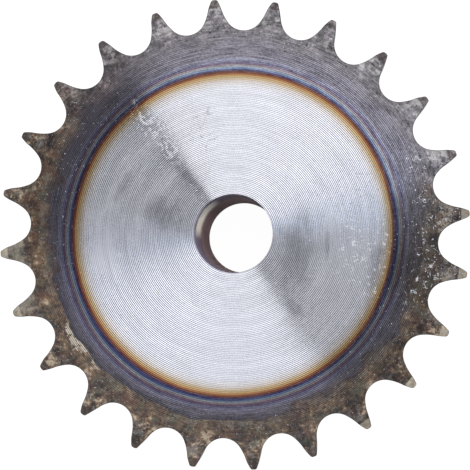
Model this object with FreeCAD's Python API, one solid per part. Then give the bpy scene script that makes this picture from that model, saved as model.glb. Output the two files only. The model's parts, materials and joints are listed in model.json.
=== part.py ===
import FreeCAD, Part
import os
from math import acos, atan2, cos, degrees, pi, radians, sin, sqrt
from FreeCAD import Vector

# A simplex roller chain sprocket with a hub on one side, turned and hobbed from one piece of steel.
# The hub's face lies on z = 0, the toothed plate is on top, and the bore runs along Z.
# Lengths are in millimetres and angles in degrees.

# Chain
chain_pitch = 12.7
roller_diameter = 8.51

# Teeth
teeth = 24
tooth_width = 7.2
tip_height = 2.8  # from the pitch circle to the tips
seat_factor = 0.505  # radius of the roller seat over the roller's diameter
working_factor = 1.3025  # radius of the hollow flank over the roller's diameter
topping_radius = 15.0  # rounded flank, from the hollow one to the tip
tip_rounding = 0.6
bevel_height = 2.0  # bevel on both sides of the tips, along the radius
bevel_depth = 1.0  # the same bevel, along the bore

# Hub
hub_diameter = 70.0
hub_length = 20.8
hub_chamfer = 1.0
hub_root_radius = 1.0

# Bore
bore_diameter = 17.0
bore_chamfer = 0.5

pitch_radius = chain_pitch / 2 / sin(pi / teeth)
pitch_angle = 360 / teeth
seat_radius = seat_factor * roller_diameter
seat_half_angle = 55 - 60 / teeth
working_radius = working_factor * roller_diameter
working_angle = 18 - 56 / teeth
front_face = hub_length + tooth_width
overrun = 2.0  # how far a tool runs past the metal


def polar(radius, angle):
    return Vector(radius * cos(radians(angle)), radius * sin(radians(angle)), 0)


def bearing(point):
    return degrees(atan2(point.y, point.x))


def arc_about(centre, radius, start, end):
    angles = (start, (start + end) / 2, end)
    return Part.Arc(*[centre + polar(radius, angle) for angle in angles]).toShape()


# The tooth along +X is worked out first. Its upper flank leaves the roller seat as a hollow arc,
# turns over into a rounded one, and ends in a small rounding at the tip.
seat_centre = polar(pitch_radius, pitch_angle / 2)
seat_middle = pitch_angle / 2 + 180
seat_end = seat_middle + seat_half_angle
working_end = seat_end + working_angle
working_centre = seat_centre - polar(working_radius - seat_radius, seat_end)
topping_centre = working_centre + polar(working_radius + topping_radius, working_end)

# The two rounded flanks would meet in a point on the tooth's middle line, and the tip lies below it.
point_radius = topping_centre.x + sqrt(topping_radius**2 - topping_centre.y**2)
tip_radius = min(pitch_radius + tip_height, point_radius - tip_rounding / 2)
tip_wall = Vector(tip_radius, 0, 0) - topping_centre
widest_rounding = (topping_radius**2 - tip_wall.Length**2) / 2 / (topping_radius - tip_wall.x)
corner_radius = min(tip_rounding, 0.8 * widest_rounding)
corner_reach = tip_radius - corner_radius
corner_angle = bearing(topping_centre) + degrees(
    acos(
        (corner_reach**2 + topping_centre.Length**2 - (topping_radius - corner_radius) ** 2)
        / (2 * corner_reach * topping_centre.Length)
    )
)
corner_centre = polar(corner_reach, corner_angle)
topping_end = bearing(corner_centre - topping_centre)


def toothed_outline():
    axis = Vector(0, 0, 0)
    flank = [
        arc_about(working_centre, working_radius, working_end, seat_end),
        arc_about(topping_centre, topping_radius, topping_end, working_end - 180),
        arc_about(corner_centre, corner_radius, corner_angle, topping_end),
    ]
    other_flank = [edge.mirror(axis, Vector(0, 1, 0)) for edge in flank]
    tip = arc_about(axis, tip_radius, -corner_angle, corner_angle)
    seat = arc_about(seat_centre, seat_radius, seat_middle - seat_half_angle, seat_end)
    tooth = [*other_flank, tip, *flank, seat]
    turned = [edge.rotated(axis, Vector(0, 0, 1), k * pitch_angle) for k in range(teeth) for edge in tooth]
    return Part.Face(Part.Wire(Part.sortEdges(turned)[0]))


def turned_blank():
    bore = bore_diameter / 2
    hub = hub_diameter / 2
    bevel = tip_radius - bevel_height
    rim = tip_radius + overrun
    rim_depth = bevel_depth * (rim - bevel) / bevel_height
    root_centre = Vector(hub + hub_root_radius, 0, hub_length - hub_root_radius)
    before_root = [
        Vector(bore, 0, front_face),
        Vector(bore, 0, bore_chamfer),
        Vector(bore + bore_chamfer, 0, 0),
        Vector(hub - hub_chamfer, 0, 0),
        Vector(hub, 0, hub_chamfer),
        Vector(hub, 0, root_centre.z),
    ]
    after_root = [
        Vector(root_centre.x, 0, hub_length),
        Vector(bevel, 0, hub_length),
        Vector(rim, 0, hub_length + rim_depth),
        Vector(rim, 0, front_face - rim_depth),
        Vector(bevel, 0, front_face),
        before_root[0],
    ]
    root_middle = root_centre + Vector(-1, 0, 1) * (hub_root_radius / sqrt(2))
    root = Part.Arc(before_root[-1], root_middle, after_root[0]).toShape()
    section = Part.Wire([*Part.makePolygon(before_root).Edges, root, *Part.makePolygon(after_root).Edges])
    return Part.Face(section).revolve(Vector(0, 0, 0), Vector(0, 0, 1), 360)


def sprocket():
    outline = toothed_outline().translated(Vector(0, 0, -overrun))
    hobbed = outline.extrude(Vector(0, 0, front_face + 2 * overrun))
    return turned_blank().common(hobbed).removeSplitter()


os.makedirs("parts", exist_ok=True)
shape = sprocket().Solids[0]
shape.exportStep("parts/sprocket.step")
print(f"tip diameter {2 * tip_radius:.2f}, volume {shape.Volume:.0f}, faces {len(shape.Faces)}")
print("valid", shape.isValid(), "corner", round(corner_radius, 3), "pitch circle", round(2 * pitch_radius, 3))
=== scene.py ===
import bpy
import json
from math import acos, atan2, ceil, cos, pi, radians, sin
from mathutils import Matrix, Vector


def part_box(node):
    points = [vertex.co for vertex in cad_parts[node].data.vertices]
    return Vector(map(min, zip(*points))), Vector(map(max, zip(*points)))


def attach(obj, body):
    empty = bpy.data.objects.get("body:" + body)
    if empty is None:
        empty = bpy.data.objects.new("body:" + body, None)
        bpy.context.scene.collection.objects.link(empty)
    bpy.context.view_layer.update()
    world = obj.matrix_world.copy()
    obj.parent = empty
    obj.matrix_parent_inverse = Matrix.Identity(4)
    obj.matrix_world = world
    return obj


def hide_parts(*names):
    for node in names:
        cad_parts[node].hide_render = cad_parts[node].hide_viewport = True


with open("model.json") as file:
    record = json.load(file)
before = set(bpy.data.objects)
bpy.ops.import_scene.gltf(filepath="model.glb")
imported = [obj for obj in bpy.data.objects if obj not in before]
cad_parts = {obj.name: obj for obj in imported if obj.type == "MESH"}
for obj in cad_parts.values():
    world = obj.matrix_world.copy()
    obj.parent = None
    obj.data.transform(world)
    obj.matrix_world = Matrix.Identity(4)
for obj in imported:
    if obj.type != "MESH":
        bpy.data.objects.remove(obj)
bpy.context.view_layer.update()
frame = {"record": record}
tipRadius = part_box("sprocket")[1].x
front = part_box("sprocket")[1].z
mounts = {mount["name"]: mount for mount in frame["record"]["mounts"]}
boreRadius = mounts["bore"]["dims"]["r_mm"] / 1000
photoTurn = radians(4.87)  # the photo shows the tooth on +X turned this far
print("frame loaded")


# the steel body: turned grooves, broken edges and hobbed tooth gaps
body = {
    "teeth": 24,
    "chainPitch": 0.0127,
    "rollerDiameter": 0.00851,
    "seatFactor": 0.505,  # radius of the roller's seat over its diameter
    "workingFactor": 1.3025,  # and of the hollow flank
    "toppingRadius": 0.015,
    "tipRounding": 0.0006,
    "bevelHeight": 0.002,
    "bevelDepth": 0.001,
    "plateWidth": 0.0072,
    "hubRadius": 0.035,
    "hubChamfer": 0.001,
    "hubRootRadius": 0.001,
    "boreChamfer": 0.0005,
    "edgeBreak": 0.00012,
    "boreEdgeBreak": 0.0001,
    "frontFeed": 0.000376,  # from one groove to the next
    "frontGroove": 0.00003,  # how deep the grooves are
    "grooveFade": 0.004,  # they fade out over this width at the toothed rim
    "hubFeed": 0.0006,
    "hubGroove": 0.00003,
    "columns": 8,  # quads across one tooth
    "flatness": 0.000003,  # how far a flank's chords may leave its arcs
    "sharpEdge": radians(22),
}
plateBack = front - body["plateWidth"]
bevelRadius = tipRadius - body["bevelHeight"]
gapRadius = body["chainPitch"] / 2 / sin(pi / body["teeth"])
rootRadius = gapRadius - body["seatFactor"] * body["rollerDiameter"]
grooveRim = rootRadius - body["edgeBreak"]  # the front's grooves run from here in to the bore
grooveSpan = grooveRim - boreRadius - body["boreEdgeBreak"]
frontFeed = grooveSpan / round(grooveSpan / body["frontFeed"])


def polar(radius, angle):
    return Vector((radius * cos(angle), radius * sin(angle)))


def bearing(point):
    return atan2(point[1], point[0])


def onPicture(radius, way):
    # a spot on the part by its way in the picture
    return (*polar(radius, way - photoTurn), 0)


def toothArcs(p):
    # half a gap, from its middle to the tip of the tooth on +X: centre, radius, +1 if hollow, from, to
    n = p["teeth"]
    seatRadius = gapRadius - rootRadius
    workingRadius = p["workingFactor"] * p["rollerDiameter"]
    topping = p["toppingRadius"]
    seatCentre = polar(gapRadius, pi / n)
    seatMiddle = pi / n + pi
    seatEnd = seatMiddle + radians(55 - 60 / n)
    workingEnd = seatEnd + radians(18 - 56 / n)
    workingCentre = seatCentre - polar(workingRadius - seatRadius, seatEnd)
    toppingCentre = workingCentre + polar(workingRadius + topping, workingEnd)
    reach = tipRadius - p["tipRounding"]
    far = toppingCentre.length
    cornerTurn = acos((reach**2 + far**2 - (topping - p["tipRounding"]) ** 2) / (2 * reach * far))
    cornerAngle = bearing(toppingCentre) + cornerTurn
    cornerCentre = polar(reach, cornerAngle)
    toppingEnd = bearing(cornerCentre - toppingCentre)
    bevelTurn = acos((topping**2 + far**2 - bevelRadius**2) / (2 * topping * far))
    bevelAngle = bearing(-toppingCentre) - bevelTurn
    return [
        (seatCentre, seatRadius, 1, seatMiddle, seatEnd),
        (workingCentre, workingRadius, 1, seatEnd, workingEnd),
        (toppingCentre, topping, -1, workingEnd - pi, bevelAngle),
        (toppingCentre, topping, -1, bevelAngle, toppingEnd),
        (cornerCentre, p["tipRounding"], -1, toppingEnd, cornerAngle),
    ]


def flankPoints(p, inset):
    # the arcs as points, moved into the steel by inset
    points = []
    for centre, radius, hollow, start, end in toothArcs(p):
        step = 2 * acos(1 - p["flatness"] / radius)
        steps = max(2, ceil(abs(end - start) / step))
        for k in range(1 if points else 0, steps + 1):
            points.append(centre + polar(radius + hollow * inset, start + (end - start) * k / steps))
    return points


def grooved(start, end, feed, depth, outwards, fade=0.0):
    # stations of tool grooves from one point of the section to another: radius, z, sharp ridge or not
    start, end = Vector(start), Vector(end)
    length = (end - start).length
    count = round(length / feed)
    stations = []
    for k in range(count):
        full = min(1, (k + 0.5) * length / count / fade) if fade else 1
        stations.append((*start.lerp(end, k / count), True))
        stations.append((*(start.lerp(end, (k + 0.5) / count) - Vector(outwards) * depth * full), False))
    return stations + [(*end, True)]


def bodySection(p):
    # the turned section, from the root circle on the front in to the bore and round to the one on the back
    # finishes are 0 heated, 1 turned, 2 hobbed and 3 bored
    hub, chamfer, root = p["hubRadius"], p["hubChamfer"], p["hubRootRadius"]
    edge, boreChamfer = p["boreEdgeBreak"], p["boreChamfer"]
    hubTool = (p["hubFeed"], p["hubGroove"])
    frontTool = (p["frontFeed"], p["frontGroove"])
    frontFace = grooved((grooveRim, front), (boreRadius + edge, front), *frontTool, (0, 1), p["grooveFade"])
    boreWall = [(boreRadius, front - edge, True), (boreRadius, boreChamfer, True)]
    hubFace = grooved((boreRadius + boreChamfer, 0), (hub - chamfer, 0), *hubTool, (0, -1))
    hubSide = grooved((hub, chamfer), (hub, plateBack - root), *hubTool, (1, 0))
    rootArc = []
    for a in (pi / 8, pi / 4, 3 * pi / 8):
        rootArc.append((hub + root - root * cos(a), plateBack - root + root * sin(a), False))
    back = grooved((hub + root, plateBack), (grooveRim, plateBack), *hubTool, (0, -1))
    stretches = [(0, frontFace), (3, boreWall), (1, hubFace + hubSide + rootArc), (0, back)]
    return [(*station, finish) for finish, stations in stretches for station in stations]


def bevelled(radius, faceZ):
    # height of the front or back face at this radius, with the bevel on the tips
    drop = max(0, radius - bevelRadius) * body["bevelDepth"] / body["bevelHeight"]
    return faceZ - drop if faceZ == front else faceZ + drop


def buildBody(p):
    vertices, faces, finishes, creases = [], [], [], []
    toothAngle = 2 * pi / p["teeth"]
    across = p["columns"]
    around = p["teeth"] * across

    def addPoint(x, y, z):
        vertices.append((x, y, z))
        return len(vertices) - 1

    def addStrip(one, other, finish, closed=False):
        # quads between two rows of points, seen from outside with one on the right of the way along
        pairs = list(zip(one, other))
        for (a, b), (c, d) in zip(pairs, pairs[1:] + pairs[:1] if closed else pairs[1:]):
            faces.append((a, c, d, b))
            finishes.append(finish)

    rings = []
    for radius, z, crease, finish in bodySection(p):
        ring = [addPoint(*polar(radius, (k / across - 0.5) * toothAngle), z) for k in range(around)]
        if rings:
            addStrip(rings[-1], ring, finish, closed=True)
        if crease:
            creases.append(ring)
        rings.append(ring)

    outline = flankPoints(p, 0)
    inset = flankPoints(p, p["edgeBreak"])
    edgeLoops = []
    for faceZ, rootRing in ((front, rings[0]), (plateBack, rings[-1])):
        loop = []
        for tooth in range(p["teeth"]):
            middle = tooth * toothAngle
            rows = [[rootRing[(tooth * across + c) % around] for c in range(across + 1)]]
            for point in inset[1:]:
                z = bevelled(point.length, faceZ)
                angles = [middle + bearing(point) * (2 * c / across - 1) for c in range(across + 1)]
                rows.append([addPoint(*polar(point.length, a), z) for a in angles])
            for lower, upper in zip(rows, rows[1:]):
                addStrip(*((upper, lower) if faceZ == front else (lower, upper)), 0)
            loop += [row[0] for row in rows] + [row[-1] for row in rows[:0:-1]]
        edgeLoops.append(loop)

    walls = []
    for faceZ, inwards in ((front, -p["edgeBreak"]), (plateBack, p["edgeBreak"])):
        wall = []
        for tooth in range(p["teeth"]):
            middle = tooth * toothAngle
            for side, points in ((-1, outline), (1, outline[:0:-1])):
                for point in points:
                    z = bevelled(point.length, faceZ) + inwards
                    wall.append(addPoint(*polar(point.length, middle + side * bearing(point)), z))
        walls.append(wall)
    addStrip(walls[0], edgeLoops[0], 2, closed=True)
    addStrip(walls[1], walls[0], 2, closed=True)
    addStrip(edgeLoops[1], walls[1], 2, closed=True)

    mesh = bpy.data.meshes.new("sprocketBody")
    mesh.from_pydata(vertices, [], faces)
    mesh.polygons.foreach_set("material_index", finishes)
    mesh.set_sharp_from_angle(angle=p["sharpEdge"])
    ringOf = {index: number for number, ring in enumerate(creases) for index in ring}
    for edge in mesh.edges:
        a, b = edge.vertices
        if a in ringOf and ringOf[a] == ringOf.get(b):
            edge.use_edge_sharp = True
    mesh.validate()
    piece = bpy.data.objects.new("sprocketBody", mesh)
    bpy.context.scene.collection.objects.link(piece)
    return piece


sprocketBody = buildBody(body)
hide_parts("sprocket")
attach(sprocketBody, "root")
print("body built:", len(sprocketBody.data.polygons), "faces")


# what the material code is written with
def addNode(tree, kind, inputs={}, **settings):
    made = tree.nodes.new("ShaderNode" + kind)
    for name, value in settings.items():
        setattr(made, name, value)
    fill(tree, made, inputs)
    return made


def fill(tree, made, inputs):
    for name, value in inputs.items():
        if isinstance(value, bpy.types.NodeSocket):
            tree.links.new(value, made.inputs[name])
        else:
            made.inputs[name].default_value = value


def calc(tree, operation, *values, clamp=False):
    return addNode(tree, "Math", dict(enumerate(values)), operation=operation, use_clamp=clamp).outputs[0]


def times(tree, product, *others):
    for other in others:
        product = calc(tree, "MULTIPLY", product, other)
    return product


def raised(tree, value, factor, base=1.0, clamp=False):
    # base, plus value times factor
    return calc(tree, "MULTIPLY_ADD", value, factor, base, clamp=clamp)


def combine(tree, operation, *values):
    # vectors worked into one vector
    return addNode(tree, "VectorMath", dict(enumerate(values)), operation=operation).outputs[0]


def measure(tree, operation, *values):
    # vectors worked into one number
    return addNode(tree, "VectorMath", dict(enumerate(values)), operation=operation).outputs["Value"]


def ease(tree, value, low, high, toLow=0.0, toHigh=1.0):
    # a smooth step from toLow at low to toHigh at high
    inputs = {0: value, 1: low, 2: high, 3: toLow, 4: toHigh}
    return addNode(tree, "MapRange", inputs, interpolation_type="SMOOTHSTEP").outputs[0]


def between(tree, value, atZero, atOne):
    return addNode(tree, "MapRange", {0: value, 3: atZero, 4: atOne}).outputs[0]


def blend(tree, factor, one, other, kind="MIX"):
    return addNode(tree, "Mix", {0: factor, 6: one, 7: other}, data_type="RGBA", blend_type=kind).outputs[2]


def darken(tree, colour, light):
    grey = addNode(tree, "CombineXYZ", {0: light, 1: light, 2: light}).outputs[0]
    return blend(tree, 1.0, colour, grey, "MULTIPLY")


def srgb(*levels):
    parts = [level / 255 for level in levels]
    return (*[part / 12.92 if part < 0.04045 else ((part + 0.055) / 1.055) ** 2.4 for part in parts], 1.0)


def colourRamp(tree, factor, stops):
    ramp = addNode(tree, "ValToRGB", {0: factor})
    elements = ramp.color_ramp.elements
    first, last = stops[0][0], stops[-1][0]
    while len(elements) < len(stops):
        elements.new(0.5)
    for element, (spot, colour) in zip(elements, stops):
        element.position = (spot - first) / (last - first)
        element.color = srgb(*colour)
    return ramp.outputs[0]


def noise(tree, vector, scale, detail=3.0, roughness=0.5):
    inputs = {"Vector": vector, "Scale": scale, "Detail": detail, "Roughness": roughness}
    return addNode(tree, "TexNoise", inputs).outputs[0]


def startGroup(name, inputs, outputs, colours=()):
    group = bpy.data.node_groups.new(name, "ShaderNodeTree")
    for label, value in inputs.items():
        kind = "Vector" if isinstance(value, tuple) else "Float"
        socket = group.interface.new_socket(label, in_out="INPUT", socket_type="NodeSocket" + kind)
        socket.default_value = value
    for labels, kind in ((outputs, "Float"), (colours, "Color")):
        for label in labels:
            group.interface.new_socket(label, in_out="OUTPUT", socket_type="NodeSocket" + kind)
    given = group.nodes.new("NodeGroupInput").outputs
    return group, given, group.nodes.new("NodeGroupOutput")


def placeGroup(tree, group, inputs):
    made = tree.nodes.new("ShaderNodeGroup")
    made.node_tree = group
    fill(tree, made, inputs)
    return made.outputs


def place(tree, group, vector, inputs):
    return placeGroup(tree, group, {"Vector": vector, **inputs})[0]


def placeMarks(tree, distance, feed):
    # how high a spot lies in its groove, and how much paler or darker that groove is
    marks = placeGroup(tree, toolMarks, {"Distance": distance, "Feed": feed})
    return marks["Ridge"], calc(tree, "SUBTRACT", marks["Shade"], 0.5)


def placeSkin(tree, vector, inputs):
    skin = placeGroup(tree, scaleSkin, {"Vector": vector, **inputs})
    return skin["Color"], skin["Pits"]


def startMaterial(name):
    material = bpy.data.materials.new(name)
    material.use_nodes = True
    tree = material.node_tree
    return material, tree, tree.nodes["Principled BSDF"]


def partCoords(tree):
    # the object's own coordinates, its distance from the axis and its height
    coords = addNode(tree, "TexCoord").outputs["Object"]
    radius = measure(tree, "LENGTH", combine(tree, "MULTIPLY", coords, (1, 1, 0)))
    return coords, radius, addNode(tree, "SeparateXYZ", {0: coords}).outputs[2]


def sideOf(tree, coords, radius, way):
    # 1 on this way of the picture from the axis, 0 across it and -1 opposite
    return calc(tree, "DIVIDE", measure(tree, "DOT_PRODUCT", coords, onPicture(1, way)), radius)


def turnedTangent(tree, shader):
    tangent = addNode(tree, "Tangent", direction_type="RADIAL", axis="Z").outputs[0]
    tree.links.new(tangent, shader.inputs["Tangent"])


# finishes shared by the materials
def makeToolMarks():
    # Ridge goes from 0 at the bottom of a groove to 1 at its edge, Shade tells one groove from the next
    group, given, result = startGroup("toolMarks", {"Distance": 0.0, "Feed": 0.0004}, ["Ridge", "Shade"])
    count = calc(group, "DIVIDE", given["Distance"], given["Feed"])
    ridge = calc(group, "ABSOLUTE", calc(group, "SUBTRACT", calc(group, "FRACT", count), 0.5))
    levels = []
    for fineness in (0.61, 0.07):
        inputs = {"W": count, "Scale": fineness, "Detail": 2.0}
        levels.append(addNode(group, "TexNoise", inputs, noise_dimensions="1D").outputs[0])
    shade = raised(group, levels[0], 0.6, times(group, levels[1], 0.4))
    fill(group, result, {"Ridge": times(group, ridge, 2.0), "Shade": shade})
    return group


def makeTurnStreaks():
    # streaks that run round the axis, about 0 in the middle; Length is in radians, Width across them
    inputs = {"Vector": (0.0, 0.0, 0.0), "Length": 0.1, "Width": 0.0004}
    group, given, result = startGroup("turnStreaks", inputs, ["Value"])
    level = combine(group, "MULTIPLY", given["Vector"], (1, 1, 0))
    way = combine(group, "NORMALIZE", level)
    inputs = {0: way, "Scale": calc(group, "DIVIDE", 1.0, given["Length"])}
    around = addNode(group, "VectorMath", inputs, operation="SCALE").outputs[0]
    height = addNode(group, "SeparateXYZ", {0: given["Vector"]}).outputs[2]
    outwards = calc(group, "ADD", measure(group, "LENGTH", level), height)
    across = addNode(group, "CombineXYZ", {2: calc(group, "DIVIDE", outwards, given["Width"])}).outputs[0]
    streaks = noise(group, combine(group, "ADD", around, across), 1.0, 3.0, 0.65)
    fill(group, result, {"Value": calc(group, "SUBTRACT", streaks, 0.5)})
    return group


def makeSpecks():
    # small spots on a level face; Share is how many of the cells hold one
    inputs = {"Vector": (0.0, 0.0, 0.0), "Spacing": 0.002, "Size": 0.0003, "Share": 0.5}
    group, given, result = startGroup("specks", inputs, ["Mask"])
    fineness = calc(group, "DIVIDE", 1.0, given["Spacing"])
    warp = addNode(group, "TexNoise", {"Vector": given["Vector"], "Scale": 2500.0}).outputs["Color"]
    inputs = {"Vector": combine(group, "MULTIPLY_ADD", warp, (0.0004,) * 3, given["Vector"]), "Scale": fineness}
    cells = addNode(group, "TexVoronoi", inputs, voronoi_dimensions="2D").outputs
    chance = addNode(group, "SeparateXYZ", {0: cells["Color"]}).outputs
    size = times(group, given["Size"], fineness, calc(group, "ADD", chance[1], 0.3))
    spot = ease(group, cells["Distance"], size, times(group, size, 0.6))
    kept = calc(group, "LESS_THAN", chance[0], given["Share"])
    fill(group, result, {"Mask": times(group, spot, kept)})
    return group


def makeCurls():
    # thin short curved marks; Share is how much of the surface has them
    inputs = {"Vector": (0.0, 0.0, 0.0), "Size": 0.002, "Width": 0.03, "Share": 0.2}
    group, given, result = startGroup("curls", inputs, ["Mask"])
    fineness = calc(group, "DIVIDE", 1.0, given["Size"])
    level = calc(group, "SUBTRACT", noise(group, given["Vector"], fineness, 0.0), 0.5)
    line = ease(group, calc(group, "ABSOLUTE", level), given["Width"], 0.0)
    where = noise(group, given["Vector"], times(group, fineness, 0.9), 1.0)
    limit = raised(group, given["Share"], -0.4, 0.74)
    kept = ease(group, where, limit, calc(group, "ADD", limit, 0.03))
    fill(group, result, {"Mask": times(group, line, kept)})
    return group


def makeBlotches():
    # cloudy patches with ragged edges
    inputs = {"Vector": (0.0, 0.0, 0.0), "Size": 0.005, "Middle": 0.5, "Softness": 0.1}
    group, given, result = startGroup("blotches", inputs, ["Mask"])
    cloud = noise(group, given["Vector"], calc(group, "DIVIDE", 1.0, given["Size"]), 6.0, 0.6)
    low = calc(group, "SUBTRACT", given["Middle"], given["Softness"])
    high = calc(group, "ADD", given["Middle"], given["Softness"])
    fill(group, result, {"Mask": ease(group, cloud, low, high)})
    return group


def makePatch():
    # one long patch with ragged soft ends round Middle, Turn is the way it runs
    inputs = {"Vector": (0.0, 0.0, 0.0), "Middle": (0.0, 0.0, 0.0), "Turn": 0.0, "Length": 0.01, "Width": 0.004}
    group, given, result = startGroup("patch", inputs, ["Mask"])
    away = combine(group, "SUBTRACT", given["Vector"], given["Middle"])
    inputs = {"Vector": away, "Angle": times(group, given["Turn"], -1.0)}
    turned = addNode(group, "VectorRotate", inputs, rotation_type="Z_AXIS").outputs[0]
    size = addNode(group, "CombineXYZ", {0: given["Length"], 1: given["Width"], 2: 1.0}).outputs[0]
    far = measure(group, "LENGTH", combine(group, "DIVIDE", turned, size))
    bristles = combine(group, "MULTIPLY", turned, (90.0, 1100.0, 1.0))
    along = calc(group, "SUBTRACT", noise(group, bristles, 1.0, 4.0, 0.65), 0.5)
    cloud = calc(group, "SUBTRACT", noise(group, given["Vector"], 350.0, 4.0, 0.6), 0.5)
    whole = ease(group, raised(group, calc(group, "ADD", along, cloud), 1.3, far), 0.85, 0.2)
    hatched = raised(group, along, 2.4, 0.85, clamp=True)
    fill(group, result, {"Mask": times(group, whole, hatched)})
    return group


# forge scale as it lies on the teeth and in their gaps, from violet grey to brown
scale = {
    "grey": [
        (0.0, (54, 49, 51)), (0.3, (90, 83, 88)), (0.5, (120, 112, 120)), (0.72, (142, 134, 140)),
        (1.0, (204, 198, 198)),
    ],
    "brown": [
        (0.0, (28, 21, 16)), (0.25, (60, 43, 31)), (0.42, (94, 68, 47)), (0.56, (110, 90, 64)),
        (0.74, (146, 114, 82)), (1.0, (226, 204, 172)),
    ],
    "tones": (0.38, 0.62),  # the mottle goes from darkest to palest between these
    "olive": (98, 100, 80),
    "oliveShare": 0.6,
    "oliveSpots": {"Size": 0.0024, "Middle": 0.55, "Softness": 0.06},
    "rust": (120, 76, 52),
    "rustShare": 0.45,
    "rustSpots": {"Size": 0.003, "Middle": 0.57, "Softness": 0.07},
    "dot": (222, 208, 196),
    "dots": {"Size": 0.0004, "Middle": 0.62, "Softness": 0.03},
    "dotCrowds": {"Size": 0.0026, "Middle": 0.54, "Softness": 0.05},
    "pit": (27, 22, 21),
    "pitShare": 0.75,
    "pits": {"Spacing": 0.0009, "Size": 0.00022, "Share": 0.25},
    "darkSpots": {"Size": 0.0022, "Middle": 0.58, "Softness": 0.07},
    "nextPlace": (0.31, 0.17, 0.0),  # keeps one pattern apart from another
}


def makeScaleSkin(p):
    inputs = {"Vector": (0.0, 0.0, 0.0), "Brown": 0.5, "Contrast": 1.0}
    group, given, result = startGroup("scaleSkin", inputs, ["Pits"], ["Color"])
    spot, brown, contrast = given["Vector"], given["Brown"], given["Contrast"]
    moved = combine(group, "ADD", spot, p["nextPlace"])
    broad = noise(group, spot, 250.0, 3.0)
    fine = noise(group, spot, 1000.0, 6.0, 0.72)
    tone = raised(group, broad, 0.55, times(group, fine, 0.45))
    low, high = p["tones"]
    tone = addNode(group, "MapRange", {0: tone, 1: low, 2: high}, clamp=False).outputs[0]
    tone = raised(group, calc(group, "SUBTRACT", tone, 0.5), contrast, 0.5, clamp=True)
    colour = blend(group, brown, colourRamp(group, tone, p["grey"]), colourRamp(group, tone, p["brown"]))
    olive = times(group, place(group, blotches, moved, p["oliveSpots"]), times(group, brown, p["oliveShare"]))
    colour = blend(group, olive, colour, srgb(*p["olive"]))
    rust = times(group, place(group, blotches, spot, p["rustSpots"]), times(group, brown, p["rustShare"]))
    colour = blend(group, rust, colour, srgb(*p["rust"]))
    crowd = place(group, blotches, moved, p["dotCrowds"])
    dots = times(group, place(group, blotches, spot, p["dots"]), raised(group, crowd, 0.7, 0.15))
    colour = blend(group, dots, colour, srgb(*p["dot"]))
    darkShare = times(group, contrast, raised(group, brown, 0.6, 0.2))
    dark = times(group, place(group, blotches, moved, p["darkSpots"]), darkShare)
    pits = calc(group, "MAXIMUM", place(group, specks, moved, p["pits"]), dark, clamp=True)
    colour = blend(group, times(group, pits, p["pitShare"]), colour, srgb(*p["pit"]))
    fill(group, result, {"Color": colour, "Pits": pits})
    return group


toolMarks = makeToolMarks()
turnStreaks = makeTurnStreaks()
specks = makeSpecks()
curls = makeCurls()
blotches = makeBlotches()
patch = makePatch()
scaleSkin = makeScaleSkin(scale)


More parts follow.
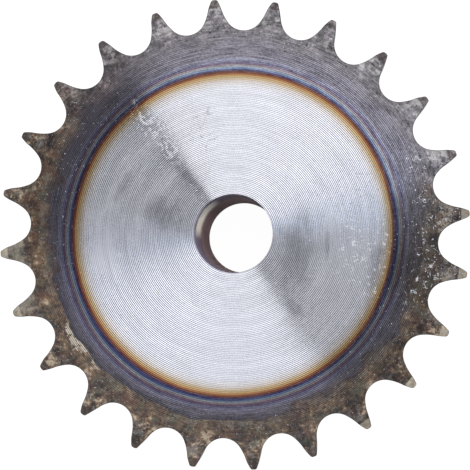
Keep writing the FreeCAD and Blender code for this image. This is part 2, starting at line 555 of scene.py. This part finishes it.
# front and back faces: bright turned steel, then the colours of heat in a ring, then dark scale out to the tips
# ways are angles in the picture, and a reach is how squarely a spot must lie on its way, from none to full
heated = {
    "roughness": 0.19,
    "scaleRoughness": 0.45,
    "anisotropy": 1.0,
    "steel": (244, 244, 248),
    "grooveShadow": (0.22, 0.92),  # how dark the bottoms of the grooves are, least and most
    "grooveSpread": 0.4,  # how much of the face lies in their shade
    "grooveEnd": (0.041, 0.0455),  # they fade out between these radii
    "wobble": 0.0004,  # how far the heat colours wander in and out
    "grooveShift": 0.0005,  # and jump from one groove to the next
    "lean": (-0.00006, -0.00008),  # how far off the axis the ring lies
    "oval": (radians(66), 0.00027),  # way of its long side, and how much it is out of round
    "lag": (radians(229), (0.92, 0.99), 0.0003),  # the blues are broader on this way: reach, by how much
    "lagRadii": (0.035, 0.0366),
    "early": (radians(-4), (0.9, 0.98), 0.0003),  # and the darkest brown comes sooner on this one
    "earlyRadii": ((0.0342, 0.0348), (0.0358, 0.0352)),
    "colours": [  # radius in mm, colour
        (31.5, (252, 252, 252)), (32.4, (247, 243, 236)), (33.0, (240, 230, 217)), (33.4, (228, 211, 188)),
        (33.7, (217, 195, 155)), (34.1, (210, 180, 131)), (34.4, (203, 163, 112)), (34.6, (189, 140, 94)),
        (34.8, (158, 104, 74)), (34.98, (124, 72, 52)), (35.15, (98, 46, 38)), (35.3, (78, 32, 44)),
        (35.42, (62, 26, 60)), (35.55, (56, 38, 92)), (35.72, (70, 74, 124)), (35.9, (98, 114, 152)),
        (36.1, (136, 154, 172)), (36.35, (166, 170, 172)), (36.6, (162, 148, 148)), (36.85, (132, 110, 124)),
        (37.1, (112, 98, 122)), (37.4, (118, 114, 142)), (37.75, (140, 140, 158)), (38.1, (144, 142, 158)),
        (38.5, (126, 120, 130)), (39.0, (122, 118, 127)), (40.0, (126, 121, 131)), (44.0, (124, 117, 124)),
    ],
    "clear": (radians(60), (0.3, 0.8)),  # blues and oxide are palest on this way, where the panel's light falls, and darkened by painted shade elsewhere
    # tint of that painted shade, and the radii where it comes in and goes out
    "paintedShadeTint": (208, 206, 204),
    "paintedShadeStart": (0.0352, 0.0359),
    "paintedShadeEnd": (0.0368, 0.038),
    "burnt": (radians(357), (0.93, 0.985)),  # the rim is darker and browner on this way
    "burntTint": (224, 217, 205),
    "burntStart": (0.0348, 0.0356),
    "burntLight": 0.62,
    "filmStart": (0.0347, 0.0354),  # the glossy oxide film comes in between these radii
    "filmIor": 1.95,
    "filmRoughness": 0.2,
    "browning": (radians(250), (-0.72, 0.05)),  # the middle of the brown side
    "scaleStart": (0.0426, 0.0407),  # where the scale begins on the grey side, and on the brown one
    "sharp": (radians(238), (0.6, 0.85)),  # the scale's edge is sharpest on this way
    "scaleSoftness": (0.0021, 0.00025),  # how soft it is elsewhere, and there
    "scaleSpill": (0.007, 0.003),  # and how far it strays
    "scaleCover": 0.94,
    "contrastRise": (0.0425, 0.0465, 0.6, 1.35),  # radii, and how strong the mottle is there
    "dark": (radians(295), (0.7, 0.95)),
    "darkLight": 0.8,
    "worn": {"Size": 0.0017, "Middle": 0.54, "Softness": 0.05},
    "wornSteel": (226, 221, 216),
    "wornTips": (0.044, 0.0475),
    "creamSide": (radians(216), (0.98, 0.996)),  # a pale streak runs along the scale's edge here
    "cream": (214, 202, 182),
    "bevel": (88, 72, 64),
    "paleBevel": (246, 232, 204),
    "paleLeft": (radians(192), (0.93, 0.99)),
    "paleRight": (radians(335), (0.72, 0.95)),
    "rubbed": (186, 178, 158),
    "rubbedSpots": {"Size": 0.004, "Middle": 0.48, "Softness": 0.12},
    "rubbedTips": (0.0445, 0.047),
    "paintedDarkReflections": [  # patches of painted shade, dark reflections on the turned face, two along the edges of the bright fans: how far off the axis, on which way, how it runs, length, width
        (0.0142, -17, 84, 0.0125, 0.006), (0.02, -51, -44, 0.0052, 0.0024), (0.0315, -14, 78, 0.012, 0.0022),
        (0.016, 163, 76, 0.0052, 0.0085), (0.0262, 156, 60, 0.006, 0.0018), (0.0205, -6, 88, 0.006, 0.0009),
        (0.0165, 129, -48, 0.0105, 0.002),
    ],
    "darkReflectionLight": 0.66,
    "hazes": [
        (0.027, 160, 66, 0.017, 0.003), (0.0215, 170, 80, 0.013, 0.002), (0.019, 146, 50, 0.011, 0.0024),
        (0.026, 141, 54, 0.012, 0.004), (0.0285, 184, 92, 0.014, 0.006), (0.0255, -26, 68, 0.023, 0.011),
        (0.0215, 2, 94, 0.008, 0.004),
    ],
    "haze": 0.15,  # how much rougher they are
    "mark": (250, 251, 255),  # nicks and curls
    "markCover": 0.92,
    "markHeight": 0.0001,
    "nicks": {"Size": 0.0005, "Width": 0.06, "Share": 0.2},
    "nickedRight": (radians(-15), (0.55, 0.9)),
    "nickedLeft": (radians(162), (0.8, 0.95)),
    "nickedRim": (0.036, 0.042),
    "shavings": {"Size": 0.0008, "Width": 0.09, "Share": 0.4},
    "shavingSide": (radians(2), (0.88, 0.97)),
    "shavingStart": (0.022, 0.03),
    "blues": (0.0366, (0.002, 0.0034)),  # their middle, and how far from it the shavings come back
    "scuff": (0.0285, 127, -53, 0.0110, 0.0030),
    "scuffCurls": {"Size": 0.0012, "Share": 0.65},
    "scuffWidths": (0.3, 0.17),  # of each curl's dark outline, and of its bright line
    "scuffLight": 0.4,
    "dents": (0.0225, 105, 100, 0.0075, 0.0045),
    "dentCurls": {"Size": 0.0016, "Width": 0.035, "Share": 1.0},
    "dentLight": 0.42,
    "oxideStart": (0.034, 0.038),
    "filmRim": (0.0435, 0.0445),  # past these radii the film lies on the bevel's slope
    "streaks": {"Length": 0.11, "Width": 0.0004},
    "sweeps": {"Length": 0.35, "Width": 0.0016},
    "waveHeight": 0.00003,
}


def faceGrooves(p, tree, radius, towards):
    # the light that the tool's grooves leave, and how one differs from the next
    ridge, shade = placeMarks(tree, calc(tree, "SUBTRACT", grooveRim, radius), frontFeed)
    slanting = calc(tree, "ABSOLUTE", times(tree, towards(0), towards(pi / 2)))
    deep = ease(tree, slanting, 0.05, 0.5, *p["grooveShadow"])
    deep = times(tree, deep, ease(tree, radius, *p["grooveEnd"], 1.0, 0.1))
    spread = p["grooveSpread"]
    shadow = times(tree, ease(tree, ridge, 2 * spread, 0.0), deep)
    even = calc(tree, "DIVIDE", 1 - spread * p["grooveShadow"][1], raised(tree, deep, -spread))
    return times(tree, even, calc(tree, "SUBTRACT", 1.0, shadow)), shade


def heatRadius(p, tree, coords, towards, shade):
    # distance from the middle of the ring, in which the heat's colours are told apart
    leaned = combine(tree, "ADD", coords, (-p["lean"][0], -p["lean"][1], 0))
    heat = measure(tree, "LENGTH", combine(tree, "MULTIPLY", leaned, (1, 1, 0)))
    way, oval = p["oval"]
    along = towards(way)
    heat = calc(tree, "ADD", heat, raised(tree, times(tree, along, along), -2 * oval, oval))
    wander = raised(tree, noise(tree, coords, 420.0, 3.0), 0.3, noise(tree, coords, 60.0, 2.0))
    heat = raised(tree, calc(tree, "SUBTRACT", wander, 0.85), p["wobble"], heat)
    heat = raised(tree, shade, p["grooveShift"], heat)
    way, reach, shift = p["lag"]
    lag = times(tree, ease(tree, towards(way), *reach, 0.0, -shift), ease(tree, heat, *p["lagRadii"]))
    way, reach, shift = p["early"]
    comes, goes = p["earlyRadii"]
    early = times(tree, ease(tree, heat, *comes), ease(tree, heat, *goes, 0.0, shift))
    early = times(tree, early, ease(tree, towards(way), *reach))
    return calc(tree, "ADD", heat, calc(tree, "ADD", lag, early))


def heatColours(p, tree, heat, clear, burnt):
    stops = p["colours"]
    low, high = stops[0][0] / 1000, stops[-1][0] / 1000
    spot = addNode(tree, "MapRange", {0: heat, 1: low, 2: high}).outputs[0]
    colour = blend(tree, 1.0, colourRamp(tree, spot, stops), srgb(*p["steel"]), "MULTIPLY")
    # painted shade: the blues and oxide are darker away from the way the panel's light falls on
    paintedShade = times(tree, ease(tree, heat, *p["paintedShadeStart"]), ease(tree, heat, *p["paintedShadeEnd"], 1.0, 0.8))
    paintedShade = times(tree, paintedShade, calc(tree, "SUBTRACT", 1.0, clear))
    colour = blend(tree, paintedShade, colour, srgb(*p["paintedShadeTint"]), "MULTIPLY")
    dim = times(tree, burnt, ease(tree, heat, *p["burntStart"]))
    colour = blend(tree, dim, colour, srgb(*p["burntTint"]), "MULTIPLY")
    return colour, paintedShade, dim


def patches(tree, coords, places):
    masks = []
    for radius, way, turn, length, width in places:
        inputs = {"Middle": onPicture(radius, radians(way)), "Turn": radians(turn) - photoTurn}
        masks.append(place(tree, patch, coords, {**inputs, "Length": length, "Width": width}))
    together = masks[0]
    for mask in masks[1:]:
        together = calc(tree, "MAXIMUM", together, mask)
    return together


def rimScale(p, tree, coords, radius, side, burnt):
    # scale on the toothed rim, browner and further in on one side, with worn tips and pale bevels
    # past is how far beyond the scale's edge a spot lies
    brown = calc(tree, "MAXIMUM", side("browning", 0.04, 1.0), times(tree, burnt, 0.85))
    sharp = side("sharp")
    ragged = calc(tree, "SUBTRACT", noise(tree, coords, 170.0, 5.0), 0.5)
    rim = raised(tree, ragged, ease(tree, sharp, 0.0, 1.0, *p["scaleSpill"]), radius)
    past = calc(tree, "SUBTRACT", rim, between(tree, brown, *p["scaleStart"]))
    soft = between(tree, sharp, *p["scaleSoftness"])
    cover = ease(tree, past, times(tree, soft, -1.0), soft)
    contrast = ease(tree, radius, *p["contrastRise"])
    colour, pits = placeSkin(tree, coords, {"Brown": brown, "Contrast": contrast})
    colour = darken(tree, colour, side("dark", 1.0, p["darkLight"]))
    colour = darken(tree, colour, raised(tree, burnt, p["burntLight"] - 1))

    worn = place(tree, blotches, coords, p["worn"])
    creamEnd = raised(tree, worn, 0.0024, 0.0003)
    cream = times(tree, ease(tree, past, 0.0, 0.0003), ease(tree, past, creamEnd, times(tree, creamEnd, 0.6)))
    cream = times(tree, cream, times(tree, side("creamSide", 0.15, 1.0), ease(tree, brown, 0.5, 1.0)))
    colour = blend(tree, cream, colour, srgb(*p["cream"]))
    tips = times(tree, ease(tree, radius, *p["wornTips"]), raised(tree, brown, -0.45, 0.65))
    colour = blend(tree, times(tree, worn, tips), colour, srgb(*p["wornSteel"]))

    paleLeft = side("paleLeft")
    pale = calc(tree, "MAXIMUM", paleLeft, side("paleRight"))
    rubbed = times(tree, place(tree, blotches, coords, p["rubbedSpots"]), paleLeft)
    rubbed = times(tree, rubbed, ease(tree, radius, *p["rubbedTips"], 0.0, 0.7))
    colour = blend(tree, rubbed, colour, srgb(*p["rubbed"]))
    bevelColour = blend(tree, pale, srgb(*p["bevel"]), srgb(*p["paleBevel"]))
    onBevel = ease(tree, radius, bevelRadius - 0.0001, bevelRadius + 0.0001)
    bevelCover = raised(tree, noise(tree, coords, 900.0, 3.0), 0.9, 0.15, clamp=True)
    colour = blend(tree, times(tree, onBevel, bevelCover), colour, bevelColour)
    return colour, cover, pits, past, brown, onBevel


def brightMarks(p, tree, coords, radius, side):
    # nicks, and small curls of bright metal on one side
    crowded = calc(tree, "MAXIMUM", side("nickedRight"), ease(tree, radius, *p["nickedRim"], 0.1, 0.8))
    crowded = calc(tree, "MAXIMUM", crowded, side("nickedLeft", 0.0, 0.7))
    nicks = times(tree, place(tree, curls, coords, p["nicks"]), crowded)
    middle, reach = p["blues"]
    offTheBlues = ease(tree, calc(tree, "ABSOLUTE", calc(tree, "SUBTRACT", radius, middle)), *reach)
    shavings = times(tree, place(tree, curls, coords, p["shavings"]), offTheBlues, side("shavingSide"))
    shavings = times(tree, shavings, ease(tree, radius, *p["shavingStart"]))
    return calc(tree, "MAXIMUM", nicks, shavings)


def makeHeatedSteel(p):
    material, tree, shader = startMaterial("heatedSteel")
    coords, radius = partCoords(tree)[:2]

    def towards(way):
        return sideOf(tree, coords, radius, way)

    def side(name, low=0.0, high=1.0):
        way, reach = p[name]
        return ease(tree, towards(way), *reach, low, high)

    grooveLight, shade = faceGrooves(p, tree, radius, towards)
    clear, burnt = side("clear"), side("burnt")
    heat = heatRadius(p, tree, coords, towards, shade)
    colour, paintedShade, dim = heatColours(p, tree, heat, clear, burnt)
    # painted shade: dark reflections laid on the turned face as patches
    colour = darken(tree, colour, raised(tree, patches(tree, coords, p["paintedDarkReflections"]), p["darkReflectionLight"] - 1))
    rim, cover, pits, past, brown, onBevel = rimScale(p, tree, coords, radius, side, burnt)
    inner = times(tree, ease(tree, past, -0.0014, -0.0004), times(tree, brown, -0.45))
    colour = darken(tree, colour, calc(tree, "ADD", 1.0, inner))
    colour = blend(tree, times(tree, cover, p["scaleCover"]), colour, rim)

    # nicks, curls and dents
    scuffed = patches(tree, coords, [p["scuff"]])
    outlined, marked = [
        times(tree, place(tree, curls, coords, {**p["scuffCurls"], "Width": width}), scuffed)
        for width in p["scuffWidths"]
    ]
    colour = darken(tree, colour, raised(tree, outlined, p["scuffLight"] - 1))
    bright = calc(tree, "MAXIMUM", brightMarks(p, tree, coords, radius, side), marked)
    colour = blend(tree, times(tree, bright, p["markCover"]), colour, srgb(*p["mark"]))
    dented = times(tree, place(tree, curls, coords, p["dentCurls"]), patches(tree, coords, [p["dents"]]))
    colour = darken(tree, colour, raised(tree, dented, p["dentLight"] - 1))

    # light and dark of the grooves, of streaks that run round with the tool, and of a fine mottle
    streaks = place(tree, turnStreaks, coords, p["streaks"])
    sweeps = place(tree, turnStreaks, coords, p["sweeps"])
    grain = calc(tree, "SUBTRACT", noise(tree, coords, 2100.0, 3.0, 0.6), 0.5)
    oxide = ease(tree, radius, *p["oxideStart"])
    streaked = raised(tree, oxide, raised(tree, clear, 1.0, 0.9), 0.12)
    light = times(tree, grooveLight, raised(tree, shade, 0.35), raised(tree, streaks, streaked))
    light = times(tree, light, raised(tree, sweeps, 0.35), raised(tree, grain, raised(tree, oxide, 1.0, 0.05)))
    colour = darken(tree, colour, light)

    # the oxide film is thinner in the grooves and streaks, worn off the bevel and the pits, and weaker under
    # the painted shade and on the burnt side
    film = times(tree, ease(tree, heat, *p["filmStart"]), grooveLight)
    texture = raised(tree, streaks, 3.0, raised(tree, grain, 2.0, 0.75))
    film = calc(tree, "MULTIPLY", film, texture, clamp=True)
    film = times(tree, film, raised(tree, paintedShade, -0.75), raised(tree, dim, -0.35))
    film = times(tree, film, raised(tree, onBevel, -0.85), raised(tree, times(tree, pits, cover), -0.9))
    normal = addNode(tree, "NewGeometry").outputs["Normal"]
    facing = calc(tree, "SIGN", addNode(tree, "SeparateXYZ", {0: normal}).outputs[2])
    level = addNode(tree, "CombineXYZ", {2: facing}).outputs[0]
    filmNormal = blend(tree, ease(tree, radius, *p["filmRim"], 0.12, 1.0), level, normal)

    # slight waves that the tool left from turn to turn
    waves = calc(tree, "ADD", noise(tree, coords, 110.0, 1.0), times(tree, sweeps, 0.4))
    bump = addNode(tree, "Bump", {"Height": waves, "Distance": p["waveHeight"]}).outputs[0]
    bump = addNode(tree, "Bump", {"Height": bright, "Distance": p["markHeight"], "Normal": bump}).outputs[0]
    hazed = patches(tree, coords, p["hazes"])
    hazy = raised(tree, hazed, raised(tree, sweeps, 0.4, p["haze"]), p["roughness"])
    fill(tree, shader, {
        "Base Color": colour,
        "Metallic": times(tree, raised(tree, cover, -0.6), raised(tree, bright, -0.9)),
        "Roughness": between(tree, cover, hazy, p["scaleRoughness"]),
        "Anisotropic": p["anisotropy"],
        "Anisotropic Rotation": 0.25,
        "Coat Weight": film,
        "Coat Roughness": p["filmRoughness"],
        "Coat IOR": p["filmIor"],
        "Coat Normal": filmNormal,
        "Normal": bump,
    })
    turnedTangent(tree, shader)
    return material


# hub: plain turned steel with wider grooves
hubSteel = {
    "colour": (164, 162, 161),
    "dull": (118, 114, 111),
    "dullShare": 0.5,
    "dullSpots": {"Size": 0.012, "Middle": 0.53, "Softness": 0.12},
    "worn": (222, 220, 218),
    "nicks": {"Size": 0.0006, "Width": 0.05, "Share": 0.15},
    "streaks": {"Length": 0.12, "Width": 0.0005},
    "grooveShade": 0.22,  # how much darker the bottoms of the grooves are
    "waveHeight": 0.00003,
    "roughness": (0.3, 0.4),  # bright, and dull
    "anisotropy": 0.85,
}


def makeTurnedSteel(p):
    material, tree, shader = startMaterial("turnedSteel")
    coords, radius, height = partCoords(tree)
    # the grooves run down the hub's side and in over its face
    down = calc(tree, "SUBTRACT", plateBack, height)
    inwards = calc(tree, "SUBTRACT", body["hubRadius"], radius)
    ridge, shade = placeMarks(tree, calc(tree, "ADD", down, inwards), body["hubFeed"])
    dull = place(tree, blotches, coords, p["dullSpots"])
    colour = blend(tree, times(tree, dull, p["dullShare"]), srgb(*p["colour"]), srgb(*p["dull"]))
    colour = blend(tree, place(tree, curls, coords, p["nicks"]), colour, srgb(*p["worn"]))
    streaks = place(tree, turnStreaks, coords, p["streaks"])
    light = times(tree, raised(tree, ease(tree, ridge, 0.7, 0.0), -p["grooveShade"]), raised(tree, shade, 0.3))
    light = times(tree, light, raised(tree, streaks, 0.5))
    waves = noise(tree, coords, 120.0, 2.0)
    fill(tree, shader, {
        "Base Color": darken(tree, colour, light),
        "Metallic": 1.0,
        "Roughness": between(tree, dull, *p["roughness"]),
        "Anisotropic": p["anisotropy"],
        "Anisotropic Rotation": 0.25,
        "Normal": addNode(tree, "Bump", {"Height": waves, "Distance": p["waveHeight"]}).outputs[0],
    })
    turnedTangent(tree, shader)
    return material


# walls of the teeth: the hob's steps across them, under scale
toothWall = {
    "hobFeed": 0.0011,
    "stepShade": 0.25,  # how much darker the bottoms of the steps are
    "stepHeight": 0.00002,
    "tint": (160, 150, 148),
    "polish": {"Size": 0.003, "Middle": 0.56, "Softness": 0.08},
    "lean": (0.7, -0.7, 0.0),  # the scale's pattern moves this way up the wall
    "brownReach": (-0.6, 0.25),
    "roughness": 0.42,
}


def makeHobbedSteel(p):
    material, tree, shader = startMaterial("hobbedSteel")
    coords, radius, height = partCoords(tree)
    spot = combine(tree, "MULTIPLY_ADD", height, p["lean"], coords)
    brownSide = sideOf(tree, coords, radius, heated["browning"][0])
    colour, pits = placeSkin(tree, spot, {"Brown": ease(tree, brownSide, *p["brownReach"], 0.2, 1.0)})
    ridge, shade = placeMarks(tree, height, p["hobFeed"])
    polished = place(tree, blotches, spot, p["polish"])
    light = times(tree, raised(tree, ease(tree, ridge, 0.5, 0.0), -p["stepShade"]), raised(tree, shade, 0.5))
    colour = blend(tree, 1.0, colour, srgb(*p["tint"]), "MULTIPLY")
    steps = raised(tree, pits, -0.6, ridge)
    fill(tree, shader, {
        "Base Color": darken(tree, colour, light),
        "Metallic": raised(tree, polished, 0.5, 0.3),
        "Roughness": raised(tree, polished, -0.1, p["roughness"]),
        "Normal": addNode(tree, "Bump", {"Height": steps, "Distance": p["stepHeight"]}).outputs[0],
    })
    return material


# bore wall: fine turned, cool grey near the front and brown further in, with a painted highlight near the front
# on one side and painted shade on another
boreWall = {
    "feed": 0.00018,
    "grooveHeight": 0.000006,
    "streaks": {"Length": 0.4, "Width": 0.0016},
    "nearFront": (132, 122, 138),
    "further": (191, 164, 162),
    "furtherDepths": (0.006, 0.014),
    # a painted highlight: a pale, partly metallic stretch of the wall near the front on one side
    "pale": (252, 248, 228),
    "highlightSide": (radians(152), (0.8, 0.97)),
    "highlightDepths": ((0.0005, 0.004), (0.0135, 0.008)),  # where the painted highlight comes, and where it goes
    "highlightCover": 0.9,
    "highlightShine": 0.8,
    "mouth": (112, 106, 122),
    "mouthDepths": (0.0009, 0.0003),
    "shadedSide": (radians(94), (0.4, 0.85)),
    "darkLight": (1.1, 0.42),  # painted light elsewhere, and painted shade on that side
    "roughness": 0.5,
    "ior": 1.03,
}


def makeBoredSteel(p):
    material, tree, shader = startMaterial("boredSteel")
    coords, radius, height = partCoords(tree)
    ridge, shade = placeMarks(tree, height, p["feed"])
    streaks = place(tree, turnStreaks, coords, p["streaks"])
    depth = raised(tree, streaks, 0.006, calc(tree, "SUBTRACT", front, height))
    further = ease(tree, depth, *p["furtherDepths"])
    colour = blend(tree, further, srgb(*p["nearFront"]), srgb(*p["further"]))
    # painted highlight: a pale stretch near the front on one side
    way, reach = p["highlightSide"]
    comes, goes = p["highlightDepths"]
    pale = times(tree, ease(tree, depth, *comes), ease(tree, depth, *goes))
    pale = times(tree, ease(tree, sideOf(tree, coords, radius, way), *reach), pale)
    colour = blend(tree, times(tree, pale, p["highlightCover"]), colour, srgb(*p["pale"]))
    colour = blend(tree, ease(tree, depth, *p["mouthDepths"]), colour, srgb(*p["mouth"]))
    # painted shade on one side of the wall, and painted light elsewhere
    way, reach = p["shadedSide"]
    light = times(tree, raised(tree, shade, 0.5), raised(tree, streaks, 0.8))
    light = times(tree, light, ease(tree, sideOf(tree, coords, radius, way), *reach, *p["darkLight"]))
    fill(tree, shader, {
        "Base Color": darken(tree, colour, light),
        "Metallic": times(tree, pale, p["highlightShine"]),
        "Roughness": p["roughness"],
        "IOR": p["ior"],
        "Normal": addNode(tree, "Bump", {"Height": ridge, "Distance": p["grooveHeight"]}).outputs[0],
    })
    return material


for material in (
    makeHeatedSteel(heated),
    makeTurnedSteel(hubSteel),
    makeHobbedSteel(toothWall),
    makeBoredSteel(boreWall),
):
    sprocketBody.data.materials.append(material)
print("materials made")


# camera: above the front face and to one side of its middle
view = {
    "aside": (0.0201, -0.0084, 0.211),  # from the front's middle, along the picture's sides and up
    "lens": 74.66,
    "shift": (-0.15, 0.04),
    "middle": (-0.0031, 0.0032),  # where the face's middle lies in the picture, in picture widths
    "clip": (0.01, 20.0),
}


def addCamera(p):
    data = bpy.data.cameras.new("camera")
    camera = bpy.data.objects.new("camera", data)
    bpy.context.scene.collection.objects.link(camera)
    data.lens = p["lens"]
    data.shift_x, data.shift_y = p["shift"]
    data.clip_start, data.clip_end = p["clip"]
    level = Matrix.Rotation(-photoTurn, 3, "Z")
    seen = [(m + s) * data.sensor_width / p["lens"] for m, s in zip(p["middle"], p["shift"])]
    aside = Vector(p["aside"])
    turn = level @ Vector([*seen, -1.0]).rotation_difference(-aside).to_matrix()
    camera.matrix_world = Matrix.Translation(level @ aside + Vector((0, 0, front))) @ turn.to_4x4()
    bpy.context.scene.camera = camera


addCamera(view)


# light: a soft panel overhead, which covers one quarter of the sky over the part, in a pale room
# its edges are straight lines on a ceiling, in units of the ceiling's height
light = {
    "room": srgb(236, 237, 243),
    "lowest": 0.02,  # directions nearer the horizon count as this high
    "overhead": srgb(132, 133, 140),  # a darker part of the room, near straight above
    "overheadMiddle": (radians(155), radians(11)),  # its way in the picture, how far from straight up
    "overheadSize": (radians(5), radians(19)),
    "panel": srgb(252, 252, 255),
    "panelPower": 1.56,
    "softTint": srgb(218, 232, 255),  # the panel's light is bluer towards its soft side
    "softReach": 0.14,
    "hotPart": (1.3, radians(8), radians(34)),  # the panel is brighter towards the top, by this much
    "frame": (0.09, 0.15, 0.01),  # a darker strip along the crisp side: width, light, softness
    "crispSide": (radians(34.4), -0.055, 0.008),  # way across the edge in the picture, place, softness
    "softSide": (radians(94), 0.055, 0.075),
    "farSide": (radians(62), radians(76)),  # from straight up
    "opposite": srgb(238, 240, 248),  # light across from the panel
    "oppositePower": 1.42,
    "oppositeStart": (0.01, 0.03, 0.14),  # behind the crisp side, then behind the soft one
}


def lightRoom(p):
    world = bpy.data.worlds.new("room")
    bpy.context.scene.world = world
    world.use_nodes = True
    tree = world.node_tree
    tree.nodes.clear()
    direction = addNode(tree, "TexCoord").outputs["Generated"]
    height = addNode(tree, "SeparateXYZ", {0: direction}).outputs[2]
    fromTop = calc(tree, "ARCCOSINE", height)
    above = calc(tree, "MAXIMUM", height, p["lowest"])
    near, far = p["farSide"]
    high = ease(tree, fromTop, far, near)
    panel = high
    reaches = []
    for way, edge, softness in (p["crispSide"], p["softSide"]):
        reach = measure(tree, "DOT_PRODUCT", direction, onPicture(1, way))
        onCeiling = calc(tree, "SUBTRACT", calc(tree, "DIVIDE", reach, above), edge)
        panel = times(tree, panel, ease(tree, onCeiling, -softness, softness))
        reaches.append(onCeiling)
    fromCrisp, fromSoft = reaches

    way, lean = p["overheadMiddle"]
    middle = (*polar(sin(lean), way - photoTurn), cos(lean))
    fromMiddle = calc(tree, "ARCCOSINE", measure(tree, "DOT_PRODUCT", direction, middle))
    walls = blend(tree, ease(tree, fromMiddle, *p["overheadSize"]), p["overhead"], p["room"])
    width, frameLight, softness = p["frame"]
    strip = times(tree, ease(tree, fromCrisp, 0.0, -softness), high)
    strip = times(tree, strip, ease(tree, fromCrisp, -width, -0.7 * width))
    walls = blend(tree, times(tree, strip, 1 - frameLight), walls, srgb(0, 0, 0))
    crispStart, softStart, softEnd = p["oppositeStart"]
    opposite = times(tree, ease(tree, fromCrisp, 0.0, -crispStart), ease(tree, fromSoft, -softStart, -softEnd))
    opposite = times(tree, opposite, high)
    walls = blend(tree, opposite, walls, p["opposite"])
    wallLight = raised(tree, opposite, p["oppositePower"] - 1)

    hot, hotEnd, hotStart = p["hotPart"]
    panelLight = ease(tree, fromTop, hotEnd, hotStart, p["panelPower"] * hot, p["panelPower"])
    tint = blend(tree, ease(tree, fromSoft, 0.0, p["softReach"]), p["softTint"], p["panel"])
    room = addNode(tree, "Background", {0: walls, 1: wallLight}).outputs[0]
    lit = addNode(tree, "Background", {0: tint, 1: panelLight}).outputs[0]
    lighting = addNode(tree, "MixShader", {0: panel, 1: room, 2: lit}).outputs[0]
    white = addNode(tree, "Background", {0: srgb(255, 255, 255), 1: 1.0}).outputs[0]
    seen = addNode(tree, "LightPath").outputs["Is Camera Ray"]
    addNode(tree, "OutputWorld", {0: addNode(tree, "MixShader", {0: seen, 1: lighting, 2: white}).outputs[0]})


lightRoom(light)


# floor: white to the camera and in reflections, with the part's soft shadow on it
floor = {
    "halfSize": 1.5,
    "glow": 0.965,
    "seenDiffuse": 0.15,
    "diffuse": 0.7,
}


def addFloor(p):
    mesh = bpy.data.meshes.new("floor")
    h = p["halfSize"]
    mesh.from_pydata([(-h, -h, 0), (h, -h, 0), (h, h, 0), (-h, h, 0)], [], [(0, 1, 2, 3)])
    ground = bpy.data.objects.new("floor", mesh)
    bpy.context.scene.collection.objects.link(ground)
    material = bpy.data.materials.new("whiteFloor")
    material.use_nodes = True
    tree = material.node_tree
    tree.nodes.clear()
    path = addNode(tree, "LightPath").outputs
    seen = calc(tree, "MAXIMUM", path["Is Camera Ray"], path["Is Glossy Ray"])
    seen = calc(tree, "MAXIMUM", seen, path["Is Transmission Ray"])
    plain = addNode(tree, "BsdfDiffuse", {0: (*[p["diffuse"]] * 3, 1.0)}).outputs[0]
    weak = addNode(tree, "BsdfDiffuse", {0: (*[p["seenDiffuse"]] * 3, 1.0)}).outputs[0]
    glow = addNode(tree, "Emission", {0: srgb(255, 255, 255), 1: p["glow"]}).outputs[0]
    white = addNode(tree, "AddShader", {0: weak, 1: glow}).outputs[0]
    addNode(tree, "OutputMaterial", {0: addNode(tree, "MixShader", {0: seen, 1: plain, 2: white}).outputs[0]})
    mesh.materials.append(material)


addFloor(floor)
bpy.context.scene.view_settings.view_transform = "Standard"
print("camera, light and floor set")
